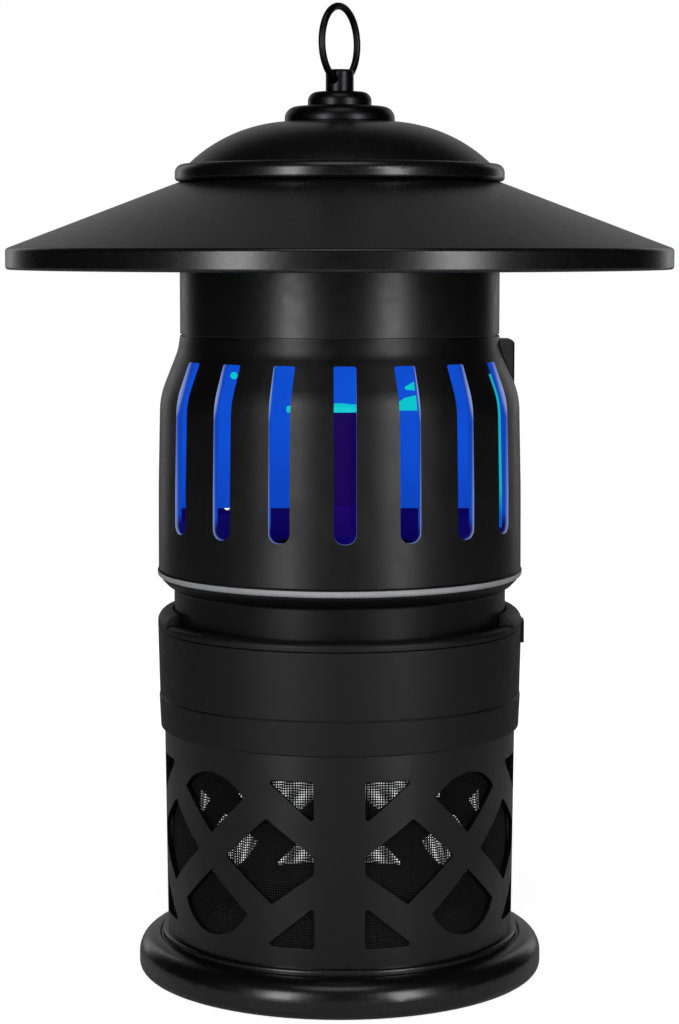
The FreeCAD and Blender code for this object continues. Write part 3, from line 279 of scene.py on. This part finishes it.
# %% [markdown]
# ## Materials
#
# Each finish has one Principled shader. Constants such as the specular level sit on the shader's
# own sockets, because an export to another program reads them there, and only what changes over
# the surface comes from the group.

# %% Material helpers


def new_material(name, **constants):
    """A material with its Principled shader, whose own sockets take the constants."""
    material = bpy.data.materials.new(name)
    material.use_nodes = True
    shader = material.node_tree.nodes["Principled BSDF"]
    for socket, value in constants.items():
        shader.inputs[socket.replace("_", " ")].default_value = value
    return material, material.node_tree, shader


def plastic(name, colour, sheen_low, sheen_high, grain_scale=GRAIN_SCALE,
            grain_depth=GRAIN_DEPTH, dust=0.008, **constants):
    """Moulded plastic: the skin group drives colour, roughness and normal."""
    material, tree, shader = new_material(name, **constants)
    node = add_node(tree, "ShaderNodeGroup", node_tree=skin)
    for socket, value in (("Colour", colour), ("Sheen Low", sheen_low), ("Sheen High", sheen_high),
                          ("Grain Scale", grain_scale), ("Grain Depth", grain_depth),
                          ("Dust", dust)):
        feed(tree, node.inputs[socket], value)
    feed(tree, shader.inputs["Base Color"], node.outputs["Colour"])
    feed(tree, shader.inputs["Roughness"], node.outputs["Roughness"])
    feed(tree, shader.inputs["Normal"], node.outputs["Normal"])
    return material


# %% [markdown]
# ## Black plastics, rubber and screen
#
# All the mouldings are the same black, and what tells them apart is their sheen. The roof and the
# foot come from polished tools, the drum is a little duller, and the collar is matt. One black
# material for all would be simpler, but the parts would then run together where they overlap. The
# rubber foot is coarse and dusty, and the screen is a dull grey.

# %% Black plastics, rubber and screen
BLACK = (0.0026, 0.0026, 0.0028, 1)
body_black = plastic("body_black", BLACK, 0.30, 0.36, Specular_IOR_Level=0.45)
collar_black = plastic("collar_black", BLACK, 0.46, 0.54, Specular_IOR_Level=0.34)
neck_black = plastic("neck_black", BLACK, 0.36, 0.42, Specular_IOR_Level=0.22)
foot_black = plastic("foot_black", BLACK, 0.26, 0.28, grain_depth=0.000006, dust=0.0,
                     Specular_IOR_Level=0.65)
roof_black = plastic("roof_black", BLACK, 0.26, 0.29, grain_depth=0.000012,
                     Specular_IOR_Level=0.62)
inner_black = plastic("inner_black", (0.008, 0.008, 0.009, 1), 0.45, 0.55, dust=0.0)
foot_rubber = plastic("foot_rubber", (0.013, 0.013, 0.013, 1), 0.7, 0.85, grain_scale=900.0,
                      grain_depth=0.00006, dust=0.1)
screen_grey = plastic("screen_grey", (0.012, 0.012, 0.0125, 1), 0.65, 0.8, dust=0.0,
                      Specular_IOR_Level=0.15)
print("plastics:", [material.name for material in bpy.data.materials if material.use_nodes])

# %% [markdown]
# ## Metals
#
# Screws, shaft and hanger are steel. Drawn and turned steel carries fine streaks, so the noise that
# drives its colour and roughness can be squashed along one axis, which draws it out along the
# others. The motor's can is the one part turned that way; the rest have an even, fine noise.

# %% Metals
METAL_DARK = 0.82
METAL_DULLER = 0.08
METAL_SHINIER = 0.06
METAL_BUMP = {"Strength": 0.3, "Distance": 0.00002}


def metal(name, colour, roughness, squash, scale):
    """Metal whose noise is squashed along an axis, which draws out its brushing."""
    material, tree, shader = new_material(name, Metallic=1.0)
    mapping = add_node(tree, "ShaderNodeMapping", {"Vector": own_place(tree), "Scale": squash})
    streaks = noise(tree, mapping.outputs["Vector"], scale, 3.0, 0.6)
    red, green, blue, full = colour
    dark = (METAL_DARK * red, METAL_DARK * green, METAL_DARK * blue, full)
    bump = add_node(tree, "ShaderNodeBump", {**METAL_BUMP, "Height": streaks})
    feed(tree, shader.inputs["Base Color"],
         mix(tree, spread(tree, streaks, 0.0, 1.0), dark, colour))
    feed(tree, shader.inputs["Roughness"],
         spread(tree, streaks, roughness - METAL_SHINIER, roughness + METAL_DULLER))
    feed(tree, shader.inputs["Normal"], bump.outputs["Normal"])
    print(name, "with", len(tree.nodes), "nodes")
    return material


zinc = metal("zinc_steel", (0.55, 0.56, 0.58, 1), 0.33, (1, 1, 1), 1500.0)
black_steel = metal("black_steel", (0.03, 0.03, 0.032, 1), 0.34, (1, 1, 1), 1800.0)
motor_steel = metal("motor_steel", (0.42, 0.42, 0.44, 1), 0.3, (1, 1, 30), 60.0)

# %% [markdown]
# ## The light behind the slots
#
# On the real trap the lamps flood the drum with violet light, and all that shows through the slots
# is flat, bright colour: a blue sheet, a deep violet lamp and a bright cyan bracket. Real lamps
# could be placed inside, but their light would need many samples to come out smooth, so the parts
# glow by themselves. The colours run from one height to another, and a slow noise keeps them from
# looking printed. The lamp's tip stands in its bracket, so it takes the bracket's cyan.

# %% Glowing parts
GLOW_CLOUD_SCALE = 45.0
GLOW_UNLIT = 0.25


def srgb(red, green, blue):
    """Screen values from 0 to 255 as a linear colour.

    With v = value / 255 that is ((v + 0.055) / 1.055) ** 2.4, or v / 12.92 up to 0.04045."""
    def linear(value):
        value /= 255
        return value / 12.92 if value <= 0.04045 else ((value + 0.055) / 1.055) ** 2.4
    return (linear(red), linear(green), linear(blue), 1.0)


def glow(name, low_colour, high_colour, low_z, high_z, roughness=0.4, uneven=0.12):
    """A glowing part whose colour runs from low_z to high_z, in millimetres."""
    material, tree, shader = new_material(name, Roughness=roughness, Emission_Strength=1.0,
                                          Specular_IOR_Level=0.1)
    place = own_place(tree)
    _, _, height = parts_of(tree, place)
    colour = mix(tree, step_up(tree, height, low_z * MM, high_z * MM), low_colour, high_colour)
    clouds = spread(tree, noise(tree, place, GLOW_CLOUD_SCALE), 1.0 - uneven, 1.0)
    feed(tree, shader.inputs["Emission Color"], brightened(tree, colour, clouds))
    feed(tree, shader.inputs["Base Color"], brightened(tree, colour, GLOW_UNLIT))
    return material


BLUE = srgb(15, 78, 205)
CYAN = srgb(14, 195, 200)
VIOLET = srgb(22, 0, 78)
NAVY = srgb(10, 2, 80)
lit_blue = glow("lit_blue", srgb(14, 70, 190), BLUE, 173, 200)
lit_cyan = glow("lit_cyan", CYAN, CYAN, 200, 220, uneven=0.06)
lit_channel = glow("lit_channel", srgb(12, 90, 190), srgb(26, 172, 186), 169, 182)
lit_violet = glow("lit_violet", VIOLET, CYAN, 210.9, 211.2, roughness=0.7)
lit_socket = glow("lit_socket", srgb(20, 0, 86), srgb(24, 0, 92), 168, 178, roughness=0.7)
lit_floor = glow("lit_floor", NAVY, srgb(12, 4, 88), 158, 166, roughness=0.7)
print("violet is", [round(value, 4) for value in VIOLET])

# %% [markdown]
# ## The drum
#
# The drum is black outside, and its inside and the cheeks of its slots glow: painted lamp light,
# navy low down and blue higher up. Two materials on two sets of faces would need the faces picked
# out one by one. One material can do it all: the way a face is turned tells the outside from the
# rest, since only the outside faces away from the axis. On the cheeks the glow pales towards the
# outer edge, a painted highlight, and above and below the slots there is no glow at all.

# %% How a face stands to the axis


def away_from_axis(tree):
    """(radius, height, how far the face is turned away from the Z axis, from -1 to 1).

    The last is (x * normal x + y * normal y) / radius."""
    x, y, z = parts_of(tree, own_place(tree))
    turn_x, turn_y, _ = parts_of(
        tree, add_node(tree, "ShaderNodeNewGeometry").outputs["True Normal"])
    radius = calculate(tree, "SQRT", calculate(tree, "ADD", calculate(tree, "MULTIPLY", x, x),
                                               calculate(tree, "MULTIPLY", y, y)))
    along = calculate(tree, "ADD", calculate(tree, "MULTIPLY", x, turn_x),
                      calculate(tree, "MULTIPLY", y, turn_y))
    return radius, z, calculate(tree, "DIVIDE", along, radius)


# %% The drum's material
# glow colours inside the drum: painted lamp light, and a painted highlight on the cheeks' outer
# edge
DRUM_GLOW_BLUE = srgb(13, 66, 178)
CHEEK_HIGHLIGHT_PAINTED = srgb(135, 150, 200)
NO_LIGHT = (0, 0, 0, 1)
INNER_WALL = 65.2
OUTER_WALL = 67.1
SHOULDER_FROM = 208
SHOULDER_LEAN = 0.30
FLOOR_END = 169
SHEET_START = 175
GLOW_BOTTOM = 153
GLOW_TOP = 229
GLOW_FADE = 1
OUTSIDE_FROM = 0.35
OUTSIDE_TO = 0.6

drum_black = plastic("drum_black", BLACK, 0.32, 0.38, Specular_IOR_Level=0.36,
                     Emission_Strength=1.0)
drum_tree = drum_black.node_tree
radius, height, outward = away_from_axis(drum_tree)
above = calculate(drum_tree, "SUBTRACT", height, SHOULDER_FROM * MM)
drawn_in = calculate(drum_tree, "MULTIPLY", calculate(drum_tree, "MAXIMUM", above, 0.0),
                     SHOULDER_LEAN)
straightened = calculate(drum_tree, "ADD", radius, drawn_in)
# painted lamp light: the inside glows navy low down and blue higher up
inside = mix(drum_tree, step_up(drum_tree, height, FLOOR_END * MM, SHEET_START * MM),
             NAVY, DRUM_GLOW_BLUE)
# painted highlight: on the cheeks the glow pales towards the outer edge
cheek = mix(drum_tree, step_up(drum_tree, straightened, INNER_WALL * MM, OUTER_WALL * MM),
            inside, CHEEK_HIGHLIGHT_PAINTED)
outside = step_up(drum_tree, outward, OUTSIDE_FROM, OUTSIDE_TO)
over_slots = step_up(drum_tree, height, GLOW_TOP * MM, (GLOW_TOP + GLOW_FADE) * MM)
under_slots = step_up(drum_tree, height, GLOW_BOTTOM * MM, (GLOW_BOTTOM - GLOW_FADE) * MM)
dark = calculate(drum_tree, "MAXIMUM", outside, over_slots)
dark = calculate(drum_tree, "MAXIMUM", dark, under_slots)
feed(drum_tree, drum_tree.nodes["Principled BSDF"].inputs["Emission Color"],
     mix(drum_tree, dark, cheek, NO_LIGHT))
print("the drum glows inside from", GLOW_BOTTOM, "to", GLOW_TOP, "mm")

# %% [markdown]
# ## The silver line
#
# The thin ring under the drum is black with a line of silver paint on its lower, rounded edge. The
# painted edge could be a ring of its own, but paint has no thickness. It is told from the rest by
# its height, so that the line has a crisp, level upper limit.

# %% The silver line
PAINT_TOP = 150.35
PAINT_EDGE = 0.05
SILVER = (0.36, 0.36, 0.37, 1)
silver_line = plastic("silver_line", SILVER, 0.42, 0.52, dust=0.0)
paint_tree = silver_line.node_tree
_, _, paint_height = parts_of(paint_tree, own_place(paint_tree))
bare = step_up(paint_tree, paint_height, (PAINT_TOP - PAINT_EDGE) * MM,
               (PAINT_TOP + PAINT_EDGE) * MM)
paint_socket = paint_tree.nodes["Principled BSDF"].inputs["Base Color"]
painted = paint_socket.links[0].from_socket
feed(paint_tree, paint_socket, mix(paint_tree, bare, painted, BLACK))
print("silver up to", PAINT_TOP, "mm")

# %% [markdown]
# ## The finishes on the CAD parts
#
# The frame's record names a slot for each part, such as rubber or steel, so most parts get their
# finish from a table of slots. A few parts share a slot but differ in sheen or light, and they are
# named one by one after it.

# %% Assign materials
FINISHES = {
    "body_plastic": body_black, "shroud_plastic": roof_black, "inner_plastic": inner_black,
    "rubber": foot_rubber, "steel": zinc, "screen_mesh": screen_grey, "silver_trim": silver_line,
    "lit_floor": lit_floor, "lit_reflector": lit_blue, "lit_bracket": lit_cyan,
    "lamp_socket": lit_socket, "lamp_glass": lit_violet, "black_metal": black_steel,
    "motor_steel": motor_steel,
    "board": plastic("solder_mask", (0.01, 0.09, 0.03, 1), 0.25, 0.4, dust=0.0),
    "components": plastic("component_black", (0.02, 0.02, 0.02, 1), 0.25, 0.35, dust=0.0),
    "wire": plastic("wire_skin", (0.02, 0.02, 0.022, 1), 0.4, 0.5, dust=0.0),
}
OWN_FINISHES = {
    "wire_conduit": lit_channel, "lamp_housing": drum_black, "collar_band": collar_black,
    "lock_ring": collar_black, "neck_shell": neck_black, "base_flange": foot_black,
    # the guard bars and the bridge's screws take the chamber floor's glow, painted lamp light
    "guard_bars": lit_floor, "bridge_screws": lit_floor,
}


def finish_with(piece, material):
    """Give a piece one material."""
    piece.data.materials.clear()
    piece.data.materials.append(material)


for entry in frame["record"]["subparts"]:
    finish_with(nodes[entry["node"]], FINISHES[entry["material_slot"]])
for name, material in OWN_FINISHES.items():
    finish_with(nodes[name], material)
print("finished", len(nodes), "nodes,", len(OWN_FINISHES), "of them by name")

# %% [markdown]
# ## The woven screen
#
# The basket is lined with insect screen, fine wires at about 1 mm. Far windows show through it
# as a grey shimmer, where the near and the far screen beat against each other. A texture with holes
# would flicker and cast no true shadow, and a real weave would need hundreds of thousands of faces
# for a bend that no one can see. Straight upright wires with round wires laid on them look the
# same.

# %% Many thin wires at once


def tubes(name, paths, across, over, radius, closed):
    """Thin square tubes along many paths at once.

    paths is (tube, step, xyz); the four points round a step are path + radius * (cos a * across
    + sin a * over) for a = 0, 90, 180 and 270 degrees. An open tube ends in a quad at both ends."""
    turn = np.arange(QUAD) * math.pi / 2
    ring = (np.cos(turn)[:, None] * across[:, :, None, :]
            + np.sin(turn)[:, None] * over[:, :, None, :])
    points = paths[:, :, None, :] + radius * ring
    tube_count, steps = paths.shape[:2]
    one = grid_faces(steps, QUAD, close_rows=closed, close_columns=True)
    if not closed:
        ends = np.array([[3, 2, 1, 0], [0, 1, 2, 3]]) + np.array([[0], [QUAD * (steps - 1)]])
        one = np.concatenate([one, ends])
    faces = one[None] + (np.arange(tube_count) * steps * QUAD)[:, None, None]
    return new_object(name, points.reshape(-1, 3) * MM, faces.reshape(-1, QUAD))


def out_from_axis(steps):
    """Level unit vectors (cos t, sin t, 0) for so many even steps of t once round."""
    angle = np.arange(steps) * 2 * math.pi / steps
    return np.stack([np.cos(angle), np.sin(angle), 0 * angle], axis=1)


# %% The screen's wires
PITCH = 0.95
WIRE = 0.2
WIRE_OVERLAP = 0.1
ROUND_STEPS = 120
screen_low, screen_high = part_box("mesh_screen")
SCREEN_RADIUS = screen_high.x / MM
SCREEN_BOTTOM = screen_low.z / MM
SCREEN_TOP = screen_high.z / MM


def upright_wires():
    """Upright wires (R cos t, R sin t, z) for even t, each from the bottom to the top."""
    count = int(2 * math.pi * SCREEN_RADIUS / PITCH)
    out = out_from_axis(count)[:, None, :].repeat(2, axis=1)
    side = np.stack([-out[..., 1], out[..., 0], 0 * out[..., 0]], axis=2)
    paths = out * (SCREEN_RADIUS - 3 * WIRE + WIRE_OVERLAP)
    paths[..., 2] = SCREEN_BOTTOM, SCREEN_TOP
    return tubes("screen_uprights", paths, out, side, WIRE, closed=False)


def round_wires():
    """Round wires (R cos t, R sin t, z) at even z, which lie on the uprights from outside."""
    heights = np.arange(SCREEN_BOTTOM + PITCH / 2, SCREEN_TOP - PITCH / 4, PITCH)
    out = out_from_axis(ROUND_STEPS)[None].repeat(len(heights), axis=0)
    paths = out * (SCREEN_RADIUS - WIRE)
    paths[..., 2] = heights[:, None]
    upward = np.zeros_like(out)
    upward[..., 2] = 1.0
    return tubes("screen_rounds", paths, out, upward, WIRE, closed=True)


for wires in (upright_wires(), round_wires()):
    finish_with(wires, screen_grey)
    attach(wires, "catch_base")
    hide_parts("mesh_screen")

# %% [markdown]
# ## The hanging ring
#
# The ring is a welded wire ring, one of the few places where the outline is seen against white, so
# it has to be truly round. A torus on a grid of two angles gives as many steps as the eye needs. A
# curve with a bevel would do as well, but it has to be turned into a mesh before the export.

# %% The ring's torus
RING_TURN = math.radians(28.5)
RING_WIRE = 1.28
RING_STEPS = 128
RING_SIDES = 20


def wire_ring(name, centre, radius):
    """Point (i, j) is centre + (radius + wire cos v) * (cos u * level + sin u * up) + wire sin v *
    across, where level is the ring's own level direction and across is square to the ring."""
    u = (np.arange(RING_STEPS) * 2 * math.pi / RING_STEPS)[:, None, None]
    v = (np.arange(RING_SIDES) * 2 * math.pi / RING_SIDES)[None, :, None]
    level = np.array((math.sin(RING_TURN), math.cos(RING_TURN), 0.0))
    up = np.array((0.0, 0.0, 1.0))
    across = np.cross(level, up)
    points = (np.array(centre)
              + (radius + RING_WIRE * np.cos(v)) * (np.cos(u) * level + np.sin(u) * up)
              + RING_WIRE * np.sin(v) * across)
    faces = grid_faces(RING_STEPS, RING_SIDES, close_rows=True, close_columns=True)
    return new_object(name, points.reshape(-1, 3) * MM, faces)


ring_low, ring_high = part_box("hanging_ring")
ring_middle = (ring_low.z + ring_high.z) / 2 / MM
ring_radius = (ring_high.z - ring_low.z) / 2 / MM - RING_WIRE
ring = wire_ring("wire_ring", (0, 0, ring_middle), ring_radius)
finish_with(ring, black_steel)
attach(ring, "hanging_ring")
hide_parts("hanging_ring")
print("ring radius", round(ring_radius, 2), "mm")

# %% [markdown]
# ## The camera
#
# A camera close by, with a short lens, would make the upright sides lean. A long lens from nearly a
# metre away keeps them straight. It looks a little down, so that the foot and the rim of the shroud
# show as curves.

# %% The camera
CAMERA_ASIDE = -0.00008
CAMERA_AWAY = 0.940
CAMERA_HEIGHT = 0.270
CAMERA_DOWN = 6.008
LENS = 89.86
SENSOR_WIDTH = 36.0
scene = bpy.context.scene
scene.view_settings.view_transform = "Standard"
camera_data = bpy.data.cameras.new("camera")
camera_data.lens = LENS
camera_data.sensor_width = SENSOR_WIDTH
camera = bpy.data.objects.new("camera", camera_data)
scene.collection.objects.link(camera)
camera.location = (CAMERA_ASIDE, -CAMERA_AWAY, CAMERA_HEIGHT)
camera.rotation_euler = (math.radians(90 - CAMERA_DOWN), 0, 0)
scene.camera = camera
print("camera", CAMERA_AWAY, "m away, looking", CAMERA_DOWN, "degrees down")

# %% [markdown]
# ## The lights
#
# Black plastic is drawn by its highlights, and a highlight has the shape of the lamp it reflects.
# Two tall soft boxes in front give the two upright streaks on the drum. Two weak ones behind lift
# the edges, and one above lights the roof. Point lamps would give only small bright dots.

# %% Soft boxes
BOX_AWAY = 1.4
BOX_HEIGHT = 0.30
BOX_TALL = 1.3
AIM_HEIGHT = 0.18
BOXES = (("left_box", -33, 0.34, 11.0), ("right_box", 37, 0.34, 10.5),
         ("rear_left_box", -146, 0.30, 0.8), ("rear_right_box", 146, 0.30, 0.8))


def soft_light(name, azimuth, height, away, width, tall, power):
    """A rectangular soft light on a circle round the trap, turned to its middle."""
    data = bpy.data.lights.new(name, "AREA")
    data.shape = "RECTANGLE"
    data.size = width
    data.size_y = tall
    data.energy = power
    light = bpy.data.objects.new(name, data)
    scene.collection.objects.link(light)
    turn = math.radians(azimuth)
    light.location = (away * math.sin(turn), -away * math.cos(turn), height)
    aim = light.location.copy()
    aim.z -= AIM_HEIGHT
    light.rotation_euler = aim.to_track_quat("Z", "Y").to_euler()
    print(name, "at", azimuth, "degrees,", power, "W")


for name, azimuth, width, power in BOXES:
    soft_light(name, azimuth, BOX_HEIGHT, BOX_AWAY, width, BOX_TALL, power)
soft_light("top_box", azimuth=0, height=1.5, away=0.5, width=0.7, tall=0.7, power=2.2)

# %% [markdown]
# ## The room
#
# The background has to be seen as plain white, but a white room would turn all the black to grey.
# So the world is white only to the camera's own rays. Reflections find a dark room with a paler
# wall at the far side, which gives the grazing edges of the drum their thin light line.

# %% The room
WALL_FROM = 0.6
WALL_FULL = 0.98
ROOM_DARK = (0.008, 0.008, 0.008, 1)
ROOM_WALL = (0.30, 0.30, 0.30, 1)
WHITE = (1, 1, 1, 1)
world = bpy.data.worlds.new("studio")
scene.world = world
world.use_nodes = True
room_tree = world.node_tree
_, backwards, _ = parts_of(
    room_tree, add_node(room_tree, "ShaderNodeTexCoord").outputs["Generated"])
room = mix(room_tree, step_up(room_tree, backwards, WALL_FROM, WALL_FULL), ROOM_DARK, ROOM_WALL)
seen = add_node(room_tree, "ShaderNodeLightPath").outputs["Is Camera Ray"]
feed(room_tree, room_tree.nodes["Background"].inputs["Color"],
     mix(room_tree, seen, room, WHITE))
print("room with", len(room_tree.nodes), "nodes")

# %% [markdown]
# ## The floor
#
# A pale, round floor carries the trap's shadow. A plane with a far edge would show a horizon, so
# the floor glows to the camera and brightens outwards until it can't be told from the background.

# %% The floor
FLOOR_STEPS = 96
FLOOR_RADII = np.array([0.001, 0.2, 0.6, 4.0])
BRIGHTEN_FROM = 0.12
BRIGHTEN_TO = 0.7
FLOOR_PALE = (0.86, 0.86, 0.86, 1)
FLOOR_PALER = (0.9, 0.9, 0.9, 1)
FLOOR_NOISE_SCALE = 30.0
floor_points = FLOOR_RADII[:, None, None] * out_from_axis(FLOOR_STEPS)[None]
floor = new_object("floor", floor_points.reshape(-1, 3),
                   grid_faces(len(FLOOR_RADII), FLOOR_STEPS, close_columns=True))

pale, pale_tree, pale_shader = new_material("pale_floor", Roughness=0.9, Specular_IOR_Level=0.0,
                                            Emission_Strength=1.0)
floor_place = own_place(pale_tree)
reach = add_node(pale_tree, "ShaderNodeVectorMath", {0: floor_place},
                 operation="LENGTH").outputs["Value"]
bright = mix(pale_tree, step_up(pale_tree, reach, BRIGHTEN_FROM, BRIGHTEN_TO), FLOOR_PALE, WHITE)
floor_seen = add_node(pale_tree, "ShaderNodeLightPath").outputs["Is Camera Ray"]
feed(pale_tree, pale_shader.inputs["Emission Color"],
     mix(pale_tree, floor_seen, NO_LIGHT, bright))
speckle = noise(pale_tree, floor_place, FLOOR_NOISE_SCALE)
feed(pale_tree, pale_shader.inputs["Base Color"],
     mix(pale_tree, speckle, FLOOR_PALE, FLOOR_PALER))
finish_with(floor, pale)
